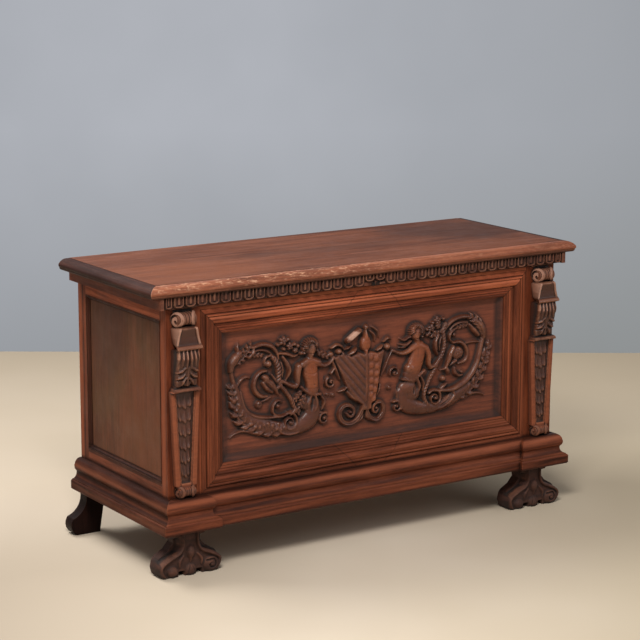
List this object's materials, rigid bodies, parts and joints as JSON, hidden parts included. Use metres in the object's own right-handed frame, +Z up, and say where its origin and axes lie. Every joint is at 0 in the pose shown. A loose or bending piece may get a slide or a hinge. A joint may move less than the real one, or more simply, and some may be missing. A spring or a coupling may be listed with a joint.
{
  "type": "cassone",
  "caption": "Carved walnut marriage chest with a hinged lid, panelled sides, moulded base, tongued frieze, console pilasters and bracket feet.",
  "frame": {"origin": "on the floor under the middle of the bounding box", "axes": "+X along the chest to the right seen from the front, +Y from front to back, +Z up"},
  "size_m": [1.44, 0.5684, 0.8083],
  "materials": {
    "walnut_carved": "waxed, dark in the hollows",
    "walnut_joined": "waxed, reddish brown",
    "walnut_lid": "worn wax with dark streaks",
    "walnut_plain": "unpolished",
    "iron": "dull dark"
  },
  "bodies": {
    "case": {"back_bottom_rail": "walnut_plain", "back_left_foot": "walnut_plain", "back_left_post": "walnut_plain", "back_panel": "walnut_plain", "back_right_foot": "walnut_plain", "back_right_post": "walnut_plain", "back_top_rail": "walnut_plain", "base_front": "walnut_joined", "base_left": "walnut_joined", "base_left_block": "walnut_joined", "base_right": "walnut_joined", "base_right_block": "walnut_joined", "floor_board_back": "walnut_plain", "floor_board_front": "walnut_plain", "floor_board_middle": "walnut_plain", "floor_cleat_back": "walnut_plain", "floor_cleat_front": "walnut_plain", "foot_dowels": "walnut_plain", "frieze_front": "walnut_carved", "frieze_left": "walnut_joined", "frieze_right": "walnut_joined", "front_bottom_rail": "walnut_joined", "front_frame_bottom": "walnut_joined", "front_frame_left": "walnut_joined", "front_frame_right": "walnut_joined", "front_frame_top": "walnut_joined", "front_left_foot": "walnut_carved", "front_left_post": "walnut_joined", "front_panel": "walnut_carved", "front_right_foot": "walnut_carved", "front_right_post": "walnut_joined", "front_top_rail": "walnut_joined", "hinge_case_screws": "iron", "hinge_pins": "iron", "key_plate": "iron", "left_bottom_rail": "walnut_joined", "left_console": "walnut_carved", "left_end_moulding": "walnut_joined", "left_end_panel": "walnut_joined", "left_hinge_case_leaf": "iron", "left_top_rail": "walnut_joined", "lock_case": "iron", "right_bottom_rail": "walnut_joined", "right_console": "walnut_carved", "right_end_moulding": "walnut_joined", "right_end_panel": "walnut_joined", "right_hinge_case_leaf": "iron", "right_top_rail": "walnut_joined"},
    "lid": {"hinge_lid_screws": "iron", "left_hinge_lid_leaf": "iron", "lid_batten_left": "walnut_plain", "lid_batten_right": "walnut_plain", "lid_board_back": "walnut_lid", "lid_board_front": "walnut_lid", "lid_edge_front": "walnut_lid", "lid_edge_left": "walnut_lid", "lid_edge_right": "walnut_lid", "lock_staple": "iron", "right_hinge_lid_leaf": "iron"},
    "bolt": {"lock_bolt": "iron"}
  },
  "joints": [
    {"name": "lid_hinge", "type": "hinge", "parent": "case", "child": "lid", "pos_m": [0, 0.27925, 0.77615], "axis": [-1, 0, 0], "range_deg": [0, 100]},
    {"name": "bolt_slide", "type": "slide", "parent": "case", "child": "bolt", "axis": [-1, 0, 0], "range_m": [0, 0.012]}
  ]
}
